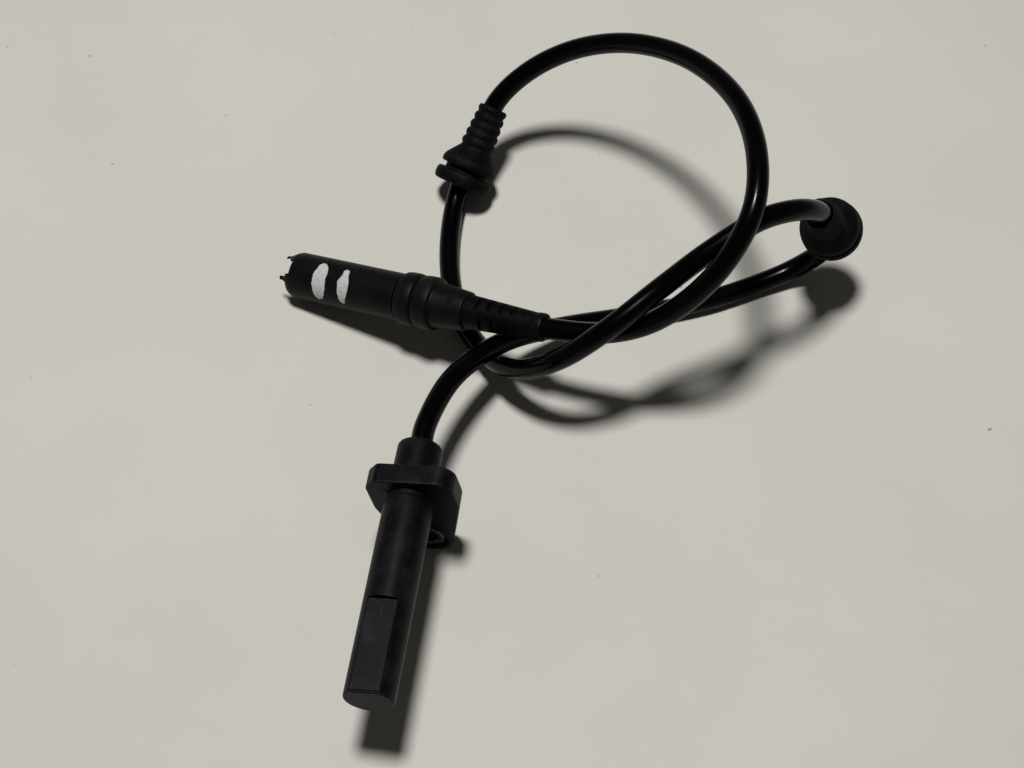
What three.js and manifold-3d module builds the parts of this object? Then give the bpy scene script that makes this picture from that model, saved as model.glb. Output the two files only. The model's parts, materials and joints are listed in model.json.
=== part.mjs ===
// A wheel speed sensor for an anti-lock brake system: a moulded sensor head with its electronics,
// one stiff cable with two wall grommets on it, and a two-way plug at the far end.
// Millimetres, +Z up, lying on the plane z = 0. The barrel of the head lies along Y, tip towards -Y.

import * as THREE from 'three';
import { mergeVertices } from 'three/addons/utils/BufferGeometryUtils.js';
import Module from 'manifold-3d';

const wasm = await Module();
wasm.setup();

// Fits and fineness
const gap = 0.3;
const overcut = 1;
const weld = 0.5;
const roundSides = 28;
const smallSides = 12;

// Head: barrel, flange and boss
const barrelDiameter = 13;
const barrelLength = 55.9;
const tipChamfer = 0.4;
const tipWall = 0.6;
const flangeThickness = 5.5;
const flangeTop = 8.5;
const flangeCutCorner = 8;
const flangeCutSide = { reach: 11.1, top: 4.8, end: -6 };
const flangeRoundSide = { reach: 12.3, end: -4 };
const flangeCornerRadius = 5;
const boltDistance = 20.7;
const earRadius = 7.3;
const bossDiameter = 12;
const bossLength = 10.1;
const bossRounding = 1.1;
const headRoll = THREE.MathUtils.degToRad(-10);

// Head: bush in the ear
const bushOuterDiameter = 9.4;
const bushBore = 6.4;

// Head: the flat at the tip and what lies behind it
const flatHeight = 5.3;
const carrierHalfWidth = 3.75;
const carrierSetBack = 0.9;
const carrierLength = 24.1;
const carrierThickness = 4;
const tongueHalfWidth = 3;
const tongueThickness = 0.9;
const tongueLength = 15;
const troughHalfWidth = 3.15;
const troughStart = 2;
const troughEnd = 14;
const troughDepth = 3.1;
const channelDiameter = 10;
const channelEndWall = 2;
const chipWidth = 3.6;
const chipLength = 4.2;
const chipThickness = 1.2;
const magnetLength = 4.5;
const magnetThickness = 2.4;
const leadThickness = 0.5;
const leadWidth = 0.7;
const leadOffset = 1.7;
const leadJogStart = 15.5;
const leadJogLength = 2.5;
const capacitorWidth = 3.4;
const capacitorLength = 2;
const capacitorThickness = 0.9;
const capacitorPlace = 3;
const crimpDiameter = 2;
const crimpLength = 5;

// Cable
const cableDiameter = 5.9;
const cableSides = 10;
const cableSteps = 80;
const coreDiameter = 1.5;
const coreOffset = 1.1;
const exitStraight = 6;

// Grommets
const grommetBore = 7;
const grommetLength = 25.5;
const grommetLeadIn = 2;
const grommetFlangeRadius = 8.8;
const grommetFlangeThickness = 4;
const grommetFlangeRounding = 1.2;
const grommetGrooveRadius = 6.6;
const grommetGrooveWidth = 1.5;
const grommetLipRadius = 8.4;
const grommetLipWidth = 2.2;
const grommetLipRounding = 0.6;
const grommetConeEnd = 12.2;
const grommetConeEndRadius = 4.8;
const bellowsRibs = 5;
const bellowsRibDepth = 0.5;
const bellowsFirstRadius = 5.2;
const bellowsLastRadius = 4.4;
const grommetSides = 20;

// Plug, measured along its axis from the end where the cable goes in
const bootLength = 24;
const bootEndRadius = 3.75;
const bootRootRadius = 4.85;
const bootCollarRadius = 4;
const bootCollarLength = 2.2;
const bootSpigotLength = 6;
const bootSpigotRadius = 4.2;
const bootSlotWidth = 1.3;
const bootSlotFirst = 5;
const bootSlotPitch = 3.6;
const bootSlots = 5;
const bootSlotFloor = 3.65;
const cableDepthInBoot = 16;
const bodyNeckRadius = 5.7;
const bodyShoulderRadius = 6.5;
const bodyShoulderLength = 10;
const ringRadius = 7.7;
const ringWidth = 5.6;
const ringValleyRadius = 6.6;
const bodySpigotRadius = 5.15;
const bodySpigotLength = 9;
const bodyChamberRadius = 3.9;
const bodyChamberLength = 8;
const sleeveRadius = 6.8;
const sleeveWall = 1.35;
const sleeveLength = 37;
const noseChamfer = 1.8;
const nibWidth = 1.4;
const nibThickness = 0.9;
const nibReach = 2;
const nibAngles = [0.16, 5.16];
const rimCutWidth = 4.8;
const rimCutDepth = 1.1;
const rimCutAngle = 5.8;
const keyWidth = 1.6;
const keyDepth = 3;
const keyAngles = [1.4, 2.6, 3.9];
const insertBaseLength = 3;
const towerRadius = 3.9;
const towerLength = 17;
const contactOffset = 2;
const contactRadius = 0.9;
const contactCrimpRadius = 1.3;
const contactCrimpLength = 4.6;
const contactSetBack = 2;
const contactSocketRadius = 0.45;
const contactSocketDepth = 8;
const cavityRadius = 1.75;
const faceSealThickness = 3;
const wireSealLength = 5;
const wireSealRadius = 1.45;
const wireSealInset = 1;

// Where things lie on the plane: the route is chosen by hand, and the pieces on the cable sit on it
const lowGrommet = { flange: [-7.65, 137.7, 7], heading: [0.284, 0.768, 0.574] };
const raisedGrommet = { flange: [102.4, 124.1, 25.2], heading: [-0.235, -0.443, 0.865] };
const plugPlace = { entry: [26.5, 77.5, 27.8], heading: [-0.93, 0.262, -0.2612] };
const routeToRaisedGrommet = [
  [2.9, 57.1, 25.6], [8.9, 70.2, 20.5], [17.2, 81.2, 15], [30.7, 91.5, 8.6], [49.2, 101.2, 3.8],
  [70.2, 110.3, 3.25], [86.2, 119.5, 3.35], [94.6, 124, 5.8], [101, 126.1, 12.3],
];
const routeToLowGrommet = [
  [88.8, 105.2, 57.2], [80, 99.2, 59.2], [68, 90.6, 54.6], [56.1, 82.2, 46.5], [43.8, 71.5, 40.2],
  [31.9, 67.1, 29.6], [19.4, 70.6, 15.8], [8, 81.6, 6.2], [-1.8, 96.6, 3.3], [-7.3, 115, 3.3],
];
const routeToPlug = [
  [8.9, 165.4, 30.6], [21.9, 167.9, 39.5], [38.3, 164, 49.3], [56, 152, 58.8], [70.3, 132.5, 66.2],
  [76.9, 111.3, 69.3], [77.1, 95.4, 66], [70, 83.2, 54.8], [56.6, 76.8, 40], [43.7, 75.7, 32.2],
];

// Places that follow from the sizes
const barrelRadius = barrelDiameter / 2;
const flangeBack = barrelLength + flangeThickness;
const headLength = flangeBack + bossLength;
const channelEnd = barrelLength - channelEndWall;
const carrierBottom = flatHeight - carrierThickness;
const slotFloor = carrierBottom - gap;
const carrierEnd = carrierSetBack + carrierLength;
const slotEnd = carrierEnd + gap;
const tongueTop = carrierBottom + tongueThickness;
const tongueEnd = carrierEnd + tongueLength;
const troughCeiling = carrierBottom + troughDepth;
const chipTop = troughCeiling - gap;
const chipStart = troughStart + gap;
const magnetStart = chipStart + chipLength + gap;
const leadBottom = tongueTop + gap;
const leadTop = leadBottom + leadThickness;
const leadOuter = chipWidth / 2 + gap;
const leadStart = chipStart + gap;
const crimpStart = tongueEnd + gap;
const crimpHeight = (leadBottom + leadTop) / 2;
const coreStart = crimpStart + crimpLength + gap;
const cableBoreRadius = cableDiameter / 2 + gap;
const coreRadius = coreDiameter / 2;
const bodyRingStart = bootLength + bodyShoulderLength;
const sleeveStart = bodyRingStart + 2 * ringWidth;
const bodyEnd = sleeveStart + bodySpigotLength;
const insertStart = bodyEnd + gap;
const towerStart = insertStart + insertBaseLength;
const towerEnd = towerStart + towerLength;
const sleeveEnd = sleeveStart + sleeveLength;
const bodyCavityStart = bootLength + bootSpigotLength + gap + bodyChamberLength;
const wireSealStart = bodyCavityStart + wireSealInset;
const contactStart = wireSealStart + wireSealLength + gap;
const contactEnd = towerEnd - contactSetBack;

// Materials, by the look of each surface
function finish(color, roughness, metalness) {
  return new THREE.MeshStandardMaterial({ color, roughness, metalness });
}
const materials = {
  housing: finish(0x24272b, 0.55, 0),
  plug: finish(0x26282b, 0.6, 0),
  carrier: finish(0x2e3238, 0.5, 0),
  chip: finish(0x111214, 0.35, 0),
  ceramic: finish(0x8a6a4a, 0.5, 0),
  magnet: finish(0x6f7276, 0.4, 0.8),
  steel: finish(0x8f9193, 0.4, 0.9),
  brass: finish(0xb08b4a, 0.35, 0.9),
  jacket: finish(0x101113, 0.3, 0),
  rubber: finish(0x2a2b2c, 0.8, 0),
  sealRubber: finish(0x3c5a78, 0.7, 0),
  signalCore: finish(0x5a4030, 0.5, 0),
  supplyCore: finish(0x2c2f33, 0.5, 0),
};

// Solids: a closed three.js geometry becomes a body that can be joined and cut, and back again
function solidOf(geometry) {
  geometry.deleteAttribute('normal');
  geometry.deleteAttribute('uv');
  const merged = mergeVertices(geometry, 1e-4);
  const corners = merged.index.array;
  const kept = [];
  for (let i = 0; i < corners.length; i += 3) {
    const [a, b, c] = corners.slice(i, i + 3);
    if (a !== b && b !== c && c !== a) kept.push(a, b, c);
  }
  return new wasm.Manifold(new wasm.Mesh({
    numProp: 3,
    vertProperties: new Float32Array(merged.attributes.position.array),
    triVerts: new Uint32Array(kept),
  }));
}

function geometryOf(solid) {
  const mesh = solid.getMesh();
  const geometry = new THREE.BufferGeometry();
  geometry.setAttribute('position', new THREE.BufferAttribute(new Float32Array(mesh.vertProperties), 3));
  geometry.setIndex(new THREE.BufferAttribute(new Uint32Array(mesh.triVerts), 1));
  geometry.computeVertexNormals();
  return geometry;
}

// A turned piece about the Y axis: pairs of radius and place, anticlockwise, closed or ending on the axis
function turned(profile, sides = roundSides) {
  return new THREE.LatheGeometry(profile.map(([r, y]) => new THREE.Vector2(r, y)), sides);
}

function rod(radius, start, end, sides = roundSides) {
  return turned([[0, start], [radius, start], [radius, end], [0, end]], sides);
}

function tube(outer, inner, start, end, sides = roundSides) {
  return turned([[inner, start], [outer, start], [outer, end], [inner, end], [inner, start]], sides);
}

function block(x0, x1, y0, y1, z0, z1) {
  const box = new THREE.BoxGeometry(x1 - x0, y1 - y0, z1 - z0);
  return box.translate((x0 + x1) / 2, (y0 + y1) / 2, (z0 + z1) / 2);
}

// A flat outline in X and Z, made solid from one place to another along Y
function plate(shape, start, end, curveSegments = 10) {
  const depth = end - start;
  const geometry = new THREE.ExtrudeGeometry(shape, { depth, bevelEnabled: false, curveSegments });
  return geometry.rotateX(Math.PI / 2).translate(0, end, 0);
}

function round(radius, sides) {
  const shape = new THREE.Shape();
  for (let i = 0; i < sides; i += 1) {
    const angle = (2 * Math.PI * i) / sides;
    const corner = [radius * Math.cos(angle), radius * Math.sin(angle)];
    if (i === 0) shape.moveTo(...corner);
    else shape.lineTo(...corner);
  }
  shape.closePath();
  return shape;
}

function along(path, radius, sides, steps) {
  return new THREE.ExtrudeGeometry(round(radius, sides), { steps, bevelEnabled: false, extrudePath: path });
}

function piece(name, geometry, material) {
  const mesh = new THREE.Mesh(geometry, material);
  mesh.name = name;
  return mesh;
}

// The angle at the ear's centre where a straight line from the end of a side touches the ear
function earTouch({ reach, end }) {
  const rise = end + boltDistance;
  return Math.atan2(rise, reach) - Math.acos(earRadius / Math.hypot(reach, rise));
}

// The flange seen from the tip: a straight top with one corner cut off and the other rounded, and sides
// that run into the round ear
function flangeOutline() {
  const shape = new THREE.Shape();
  shape.moveTo(-flangeCutCorner, flangeTop);
  shape.lineTo(-flangeCutSide.reach, flangeCutSide.top);
  shape.lineTo(-flangeCutSide.reach, flangeCutSide.end);
  shape.absarc(0, -boltDistance, earRadius, Math.PI - earTouch(flangeCutSide),
    2 * Math.PI + earTouch(flangeRoundSide), false);
  shape.lineTo(flangeRoundSide.reach, flangeRoundSide.end);
  shape.absarc(flangeRoundSide.reach - flangeCornerRadius, flangeTop - flangeCornerRadius, flangeCornerRadius,
    0, Math.PI / 2, false);
  shape.closePath();
  return shape;
}

// Head pieces, along Y from the tip at 0
function sensorHousing() {
  const barrel = solidOf(turned([
    [0, 0], [barrelRadius - tipChamfer, 0], [barrelRadius, tipChamfer],
    [barrelRadius, barrelLength + weld], [0, barrelLength + weld],
  ]));
  const flange = solidOf(plate(flangeOutline(), barrelLength, flangeBack));
  const bossRadius = bossDiameter / 2;
  const bossProfile = [[0, flangeBack - weld], [bossRadius, flangeBack - weld]];
  for (let i = 0; i <= 3; i += 1) {
    const turn = (i / 3) * (Math.PI / 2);
    bossProfile.push([
      bossRadius - bossRounding * (1 - Math.cos(turn)),
      headLength - bossRounding * (1 - Math.sin(turn)),
    ]);
  }
  bossProfile.push([0, headLength]);
  const boss = solidOf(turned(bossProfile));
  const halfSlot = carrierHalfWidth + gap;
  const top = barrelRadius + overcut;
  const slot = solidOf(block(-halfSlot, halfSlot, tipWall, slotEnd, slotFloor, top));
  const tipFlat = solidOf(block(-halfSlot, halfSlot, -overcut, tipWall + weld, flatHeight, top));
  const channel = solidOf(rod(channelDiameter / 2, slotEnd - weld, channelEnd));
  const cableBore = solidOf(rod(cableBoreRadius, channelEnd - weld, headLength + overcut));
  const bushSeat = rod(bushOuterDiameter / 2 + gap, barrelLength - overcut, flangeBack + overcut);
  const boltHole = solidOf(bushSeat.translate(0, 0, -boltDistance));
  const body = barrel.add(flange).add(boss);
  const openings = [slot, tipFlat, channel, cableBore, boltHole];
  return geometryOf(openings.reduce((rest, opening) => rest.subtract(opening), body));
}

function flangeBush() {
  return tube(bushOuterDiameter / 2, bushBore / 2, barrelLength, flangeBack).translate(0, 0, -boltDistance);
}

function chipCarrier() {
  const top = block(-carrierHalfWidth, carrierHalfWidth, carrierSetBack, carrierEnd, carrierBottom, flatHeight);
  const tongue = block(-tongueHalfWidth, tongueHalfWidth, carrierEnd - weld, tongueEnd, carrierBottom, tongueTop);
  const trough = block(-troughHalfWidth, troughHalfWidth, troughStart, troughEnd,
    carrierBottom - overcut, troughCeiling);
  const leadWay = block(-troughHalfWidth, troughHalfWidth, troughEnd - weld, carrierEnd + overcut,
    tongueTop, leadTop + gap);
  return geometryOf(solidOf(top).add(solidOf(tongue)).subtract(solidOf(trough)).subtract(solidOf(leadWay)));
}

function sensingChip() {
  return block(-chipWidth / 2, chipWidth / 2, chipStart, chipStart + chipLength, chipTop - chipThickness, chipTop);
}

function biasMagnet() {
  return block(-chipWidth / 2, chipWidth / 2, magnetStart, magnetStart + magnetLength,
    chipTop - magnetThickness, chipTop);
}

// A stamped lead: beside the chip and the magnet, then a jog inwards, and straight back to its crimp
function leadFrame(side) {
  const inner = leadOffset - leadWidth / 2;
  const jogEnd = leadJogStart + leadJogLength;
  const outline = [
    [leadOuter, leadStart], [leadOuter + leadWidth, leadStart], [leadOuter + leadWidth, leadJogStart],
    [inner + leadWidth, jogEnd], [inner + leadWidth, tongueEnd], [inner, tongueEnd],
    [inner, jogEnd], [leadOuter, leadJogStart],
  ];
  const shape = new THREE.Shape(outline.map(([x, y]) => new THREE.Vector2(side * x, y)));
  const geometry = new THREE.ExtrudeGeometry(shape, { depth: leadThickness, bevelEnabled: false });
  return geometry.translate(0, 0, leadBottom);
}

function filterCapacitor() {
  const start = carrierEnd + capacitorPlace;
  return block(-capacitorWidth / 2, capacitorWidth / 2, start, start + capacitorLength,
    leadTop + gap, leadTop + gap + capacitorThickness);
}

function coreCrimp(side) {
  const crimp = rod(crimpDiameter / 2, crimpStart, crimpStart + crimpLength, smallSides);
  return crimp.translate(side * leadOffset, 0, crimpHeight);
}

function headCore(side) {
  const path = new THREE.LineCurve3(
    new THREE.Vector3(side * leadOffset, coreStart, crimpHeight),
    new THREE.Vector3(side * coreOffset, channelEnd - gap, 0),
  );
  return along(path, coreRadius, 8, 1);
}

function buildHead() {
  const head = new THREE.Group();
  head.add(piece('sensor_housing', sensorHousing(), materials.housing));
  head.add(piece('flange_bush', flangeBush(), materials.steel));
  head.add(piece('chip_carrier', chipCarrier(), materials.carrier));
  head.add(piece('sensing_chip', sensingChip(), materials.chip));
  head.add(piece('bias_magnet', biasMagnet(), materials.magnet));
  head.add(piece('filter_capacitor', filterCapacitor(), materials.ceramic));
  for (const [side, wire] of [[-1, 'signal'], [1, 'supply']]) {
    head.add(piece(`lead_frame_${wire}`, leadFrame(side), materials.brass));
    head.add(piece(`core_crimp_${wire}`, coreCrimp(side), materials.brass));
    head.add(piece(`head_core_${wire}`, headCore(side), materials[`${wire}Core`]));
  }
  // The head is rolled about its barrel, and its lowest corner stands on the plane below the origin
  head.rotation.y = headRoll;
  head.updateMatrixWorld(true);
  const box = new THREE.Box3().setFromObject(head, true);
  const centre = box.getCenter(new THREE.Vector3());
  head.position.set(-centre.x, -centre.y, -box.min.z);
  return head;
}

// Places on the route: points along a straight stretch that a stiff piece holds
function straight(place, heading, stations) {
  const start = new THREE.Vector3(...place);
  const direction = new THREE.Vector3(...heading).normalize();
  return stations.map((station) => start.clone().addScaledVector(direction, station));
}

function grommetStretch({ flange, heading }) {
  return straight(flange, heading, [-grommetLeadIn, grommetLength / 2, grommetLength + grommetLeadIn]);
}

function cableCurve(head) {
  const exit = [head.position.x, head.position.y + headLength, head.position.z];
  const points = [
    ...straight(exit, [0, 1, 0], [channelEnd - headLength, 0, exitStraight]),
    ...routeToRaisedGrommet.map((p) => new THREE.Vector3(...p)),
    ...grommetStretch(raisedGrommet),
    ...routeToLowGrommet.map((p) => new THREE.Vector3(...p)),
    ...grommetStretch(lowGrommet),
    ...routeToPlug.map((p) => new THREE.Vector3(...p)),
    ...straight(plugPlace.entry, plugPlace.heading, [0, cableDepthInBoot]),
  ];
  return new THREE.CatmullRomCurve3(points);
}

function sensorCable(head) {
  return along(cableCurve(head), cableDiameter / 2, cableSides, cableSteps);
}

// A wall grommet from its flange at 0: flange, panel groove, lip and cone, then a tapering bellows
function grommet() {
  const bore = grommetBore / 2;
  const grooveStart = grommetFlangeThickness;
  const lipStart = grooveStart + grommetGrooveWidth;
  const profile = [
    [bore, 0], [grommetFlangeRadius - grommetFlangeRounding, 0], [grommetFlangeRadius, grommetFlangeRounding],
    [grommetFlangeRadius, grooveStart - grommetFlangeRounding],
    [grommetFlangeRadius - grommetFlangeRounding, grooveStart], [grommetGrooveRadius, grooveStart],
    [grommetGrooveRadius, lipStart], [grommetLipRadius - grommetLipRounding, lipStart],
    [grommetLipRadius, lipStart + grommetLipRounding], [grommetLipRadius, lipStart + grommetLipWidth],
    [grommetConeEndRadius, grommetConeEnd],
  ];
  const pitch = (grommetLength - grommetConeEnd) / bellowsRibs;
  for (let rib = 0; rib < bellowsRibs; rib += 1) {
    const start = grommetConeEnd + rib * pitch;
    const crest = THREE.MathUtils.lerp(bellowsFirstRadius, bellowsLastRadius, rib / (bellowsRibs - 1));
    profile.push([crest - bellowsRibDepth, start + 0.2 * pitch], [crest, start + 0.4 * pitch],
      [crest, start + 0.8 * pitch]);
  }
  profile.push([bellowsLastRadius - bellowsRibDepth, grommetLength], [bore, grommetLength], [bore, 0]);
  return turned(profile, grommetSides);
}

// Turns a piece made along Y onto a place and a heading
function lay(object, place, heading) {
  object.position.set(...place);
  const direction = new THREE.Vector3(...heading).normalize();
  object.quaternion.setFromUnitVectors(new THREE.Vector3(0, 1, 0), direction);
  return object;
}

// Plug pieces, along Y from the cable's end at 0 to the nose
function strainReliefBoot() {
  const collarEnd = bootCollarLength + gap;
  let boot = solidOf(turned([
    [0, 0], [bootEndRadius, 0], [bootCollarRadius, gap], [bootCollarRadius, bootCollarLength],
    [bootEndRadius, collarEnd], [bootRootRadius, bootLength - gap], [bootSpigotRadius, bootLength - gap],
    [bootSpigotRadius, bootLength + bootSpigotLength], [0, bootLength + bootSpigotLength],
  ]));
  const bore = rod(cableBoreRadius, -overcut, bootLength + bootSpigotLength + overcut);
  boot = boot.subtract(solidOf(bore));
  for (let i = 0; i < bootSlots; i += 1) {
    const start = bootSlotFirst + i * bootSlotPitch;
    const reach = bootRootRadius + overcut;
    for (const side of [-1, 1]) {
      const low = Math.min(side * bootSlotFloor, side * reach);
      const high = Math.max(side * bootSlotFloor, side * reach);
      const lying = block(-reach, reach, start, start + bootSlotWidth, low, high);
      const standing = block(low, high, start + bootSlotPitch / 2, start + bootSlotPitch / 2 + bootSlotWidth,
        -reach, reach);
      boot = boot.subtract(solidOf(i % 2 === 0 ? lying : standing));
    }
  }
  return geometryOf(boot);
}

function plugBody() {
  const profile = [[0, bootLength], [bodyNeckRadius, bootLength], [bodyShoulderRadius, bodyRingStart - gap],
    [ringValleyRadius, bodyRingStart]];
  for (const ring of [0, 1]) {
    const start = bodyRingStart + ring * ringWidth;
    profile.push([ringRadius - 0.3, start + 0.2 * ringWidth], [ringRadius, start + 0.5 * ringWidth],
      [ringRadius - 0.3, start + 0.8 * ringWidth], [ringValleyRadius, start + ringWidth]);
  }
  profile.push([bodySpigotRadius, sleeveStart], [bodySpigotRadius, bodyEnd], [0, bodyEnd]);
  const bootSeat = rod(bootSpigotRadius + gap, bootLength - overcut, bootLength + bootSpigotLength + gap);
  const chamber = rod(bodyChamberRadius, bootLength + bootSpigotLength, bodyCavityStart);
  let body = solidOf(turned(profile)).subtract(solidOf(bootSeat)).subtract(solidOf(chamber));
  for (const side of [-1, 1]) {
    const cavity = rod(cavityRadius, bodyCavityStart - weld, bodyEnd + overcut, smallSides);
    body = body.subtract(solidOf(cavity.translate(side * contactOffset, 0, 0)));
  }
  return geometryOf(body);
}

function plugSleeve() {
  const inner = sleeveRadius - sleeveWall;
  let sleeve = solidOf(turned([
    [inner, sleeveStart + gap], [sleeveRadius, sleeveStart + gap], [sleeveRadius, sleeveEnd - noseChamfer],
    [sleeveRadius - 0.6 * noseChamfer, sleeveEnd], [inner, sleeveEnd], [inner, sleeveStart + gap],
  ]));
  const nibSeat = sleeveRadius - sleeveWall;
  for (const angle of nibAngles) {
    const nib = block(-nibWidth / 2, nibWidth / 2, sleeveEnd - noseChamfer, sleeveEnd + nibReach,
      nibSeat, nibSeat + nibThickness);
    sleeve = sleeve.add(solidOf(nib.rotateY(angle)));
  }
  for (const angle of keyAngles) {
    const key = block(-keyWidth / 2, keyWidth / 2, sleeveEnd - keyDepth, sleeveEnd + overcut,
      nibSeat - overcut, sleeveRadius + overcut);
    sleeve = sleeve.subtract(solidOf(key.rotateY(angle)));
  }
  const rimCut = block(-rimCutWidth / 2, rimCutWidth / 2, sleeveEnd - rimCutDepth, sleeveEnd + overcut,
    nibSeat - overcut, sleeveRadius + overcut);
  return geometryOf(sleeve.subtract(solidOf(rimCut.rotateY(rimCutAngle))));
}

function plugInsert() {
  let insert = solidOf(turned([
    [0, insertStart], [bodySpigotRadius, insertStart], [bodySpigotRadius, towerStart],
    [towerRadius, towerStart], [towerRadius, towerEnd], [0, towerEnd],
  ]));
  for (const side of [-1, 1]) {
    const hole = rod(contactRadius + gap, insertStart - overcut, towerEnd + overcut, smallSides);
    insert = insert.subtract(solidOf(hole.translate(side * contactOffset, 0, 0)));
  }
  return geometryOf(insert);
}

function plugContact(side) {
  const crimpEnd = contactStart + contactCrimpLength;
  const contact = turned([
    [0, contactStart], [contactCrimpRadius, contactStart], [contactCrimpRadius, crimpEnd],
    [contactRadius, crimpEnd + gap], [contactRadius, contactEnd], [contactSocketRadius, contactEnd],
    [contactSocketRadius, contactEnd - contactSocketDepth], [0, contactEnd - contactSocketDepth],
  ], smallSides);
  return contact.translate(side * contactOffset, 0, 0);
}

function faceSeal() {
  return tube(bodySpigotRadius, towerRadius + gap, towerStart + gap, towerStart + gap + faceSealThickness);
}

function wireSeal(side) {
  const seal = tube(wireSealRadius, coreRadius + gap, wireSealStart, wireSealStart + wireSealLength, smallSides);
  return seal.translate(side * contactOffset, 0, 0);
}

function plugCore(side) {
  const path = new THREE.CatmullRomCurve3([
    new THREE.Vector3(side * coreOffset, cableDepthInBoot + gap, 0),
    new THREE.Vector3(side * coreOffset, bootLength, 0),
    new THREE.Vector3(side * contactOffset, bodyCavityStart - coreDiameter, 0),
    new THREE.Vector3(side * contactOffset, contactStart - gap, 0),
  ]);
  return along(path, coreRadius, 8, 8);
}

function buildPlug() {
  const plug = new THREE.Group();
  plug.add(piece('strain_relief_boot', strainReliefBoot(), materials.rubber));
  plug.add(piece('plug_body', plugBody(), materials.plug));
  plug.add(piece('plug_sleeve', plugSleeve(), materials.plug));
  plug.add(piece('plug_insert', plugInsert(), materials.carrier));
  plug.add(piece('plug_face_seal', faceSeal(), materials.sealRubber));
  for (const [side, wire] of [[-1, 'signal'], [1, 'supply']]) {
    plug.add(piece(`plug_contact_${wire}`, plugContact(side), materials.brass));
    plug.add(piece(`wire_seal_${wire}`, wireSeal(side), materials.sealRubber));
    plug.add(piece(`plug_core_${wire}`, plugCore(side), materials[`${wire}Core`]));
  }
  return lay(plug, plugPlace.entry, plugPlace.heading);
}

const head = buildHead();
const sensor = new THREE.Group();
sensor.add(head);
sensor.add(piece('sensor_cable', sensorCable(head), materials.jacket));
sensor.add(lay(piece('grommet_raised', grommet(), materials.rubber), raisedGrommet.flange, raisedGrommet.heading));
sensor.add(lay(piece('grommet_low', grommet(), materials.rubber), lowGrommet.flange, lowGrommet.heading));
sensor.add(buildPlug());

export default sensor;
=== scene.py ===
"""A wheel speed sensor with its looped cable, wall grommets and plug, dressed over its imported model.

Lengths are metres unless a name says otherwise. Pieces of the head and of the plug are worked out
about the Y axis, from the tip or from the cable's end at 0, and are then laid in their place.
"""

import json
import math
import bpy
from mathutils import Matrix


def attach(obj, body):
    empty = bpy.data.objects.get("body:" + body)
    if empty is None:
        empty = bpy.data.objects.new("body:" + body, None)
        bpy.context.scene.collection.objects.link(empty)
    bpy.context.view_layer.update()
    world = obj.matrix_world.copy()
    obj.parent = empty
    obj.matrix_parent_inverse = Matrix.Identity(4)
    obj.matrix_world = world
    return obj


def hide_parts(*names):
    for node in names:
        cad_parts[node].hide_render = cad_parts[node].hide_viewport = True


bl_info = {
    "name": "Wheel Speed Sensor",
    "version": (1, 0, 0),
    "blender": (4, 5, 0),
    "location": "View3D > Sidebar > Sensor",
    "description": "Makes the sensor head, its cable with grommets, and the plug, with their finishes",
    "category": "Add Mesh",
}

import bpy
import numpy as np
from bpy.props import FloatProperty, FloatVectorProperty, IntProperty
from mathutils import Matrix, Vector

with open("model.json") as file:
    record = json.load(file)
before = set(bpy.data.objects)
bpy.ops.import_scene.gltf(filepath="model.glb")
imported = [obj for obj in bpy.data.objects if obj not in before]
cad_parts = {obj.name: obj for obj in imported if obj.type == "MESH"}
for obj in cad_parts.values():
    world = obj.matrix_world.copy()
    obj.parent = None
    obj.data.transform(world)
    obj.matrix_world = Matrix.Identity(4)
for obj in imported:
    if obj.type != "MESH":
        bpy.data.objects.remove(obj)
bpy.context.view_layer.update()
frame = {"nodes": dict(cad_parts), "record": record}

BARREL_ALONG = Vector((0.0, 1.0, 0.0))

# Where the head, the grommets and the plug lie, as in the model
HEAD_PLACE = Vector((-0.000521, -0.03575, 0.027683))
HEAD_ROLL = math.radians(-10)
LOW_GROMMET = {"flange": (-0.00765, 0.1377, 0.007), "heading": (0.284, 0.768, 0.574)}
RAISED_GROMMET = {"flange": (0.1024, 0.1241, 0.0252), "heading": (-0.235, -0.443, 0.865)}
PLUG = {"entry": (0.0265, 0.0775, 0.0278), "heading": (-0.93, 0.262, -0.2612)}

# The cable's route, from the head over both grommets to the plug
ROUTE_TO_RAISED_GROMMET = [
    (0.0029, 0.0571, 0.0256), (0.0089, 0.0702, 0.0205), (0.0172, 0.0812, 0.015),
    (0.0307, 0.0915, 0.0086), (0.0492, 0.1012, 0.0038), (0.0702, 0.1103, 0.00325),
    (0.0862, 0.1195, 0.00335), (0.0946, 0.124, 0.0058), (0.101, 0.1261, 0.0123),
]
ROUTE_TO_LOW_GROMMET = [
    (0.0888, 0.1052, 0.0572), (0.08, 0.0992, 0.0592), (0.068, 0.0906, 0.0546),
    (0.0561, 0.0822, 0.0465), (0.0438, 0.0715, 0.0402), (0.0319, 0.0671, 0.0296),
    (0.0194, 0.0706, 0.0158), (0.008, 0.0816, 0.0062), (-0.0018, 0.0966, 0.0033),
    (-0.0073, 0.115, 0.0033),
]
ROUTE_TO_PLUG = [
    (0.0089, 0.1654, 0.0306), (0.0219, 0.1679, 0.0395), (0.0383, 0.164, 0.0493),
    (0.056, 0.152, 0.0588), (0.0703, 0.1325, 0.0662), (0.0769, 0.1113, 0.0693),
    (0.0771, 0.0954, 0.066), (0.07, 0.0832, 0.0548), (0.0566, 0.0768, 0.04),
    (0.0437, 0.0757, 0.0322),
]

# Places and sizes that more than one piece shares
CABLE_BORE = 0.00325
TIP_WALL = 0.0006
SLOT_FLOOR = 0.001
INSERT_BOTTOM = 0.0013
SIDE_GAP = 0.0002
ROUND_SIDES = 84
SLOT_SIDES = 30
TURNED_SIDES = 120

# The two dabs on the sleeve: place round, place along, half size round, half size along
DABS = [(0.0368, 0.0245, 0.0060, 0.0023), (0.0367, 0.0164, 0.0052, 0.0018)]

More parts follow.
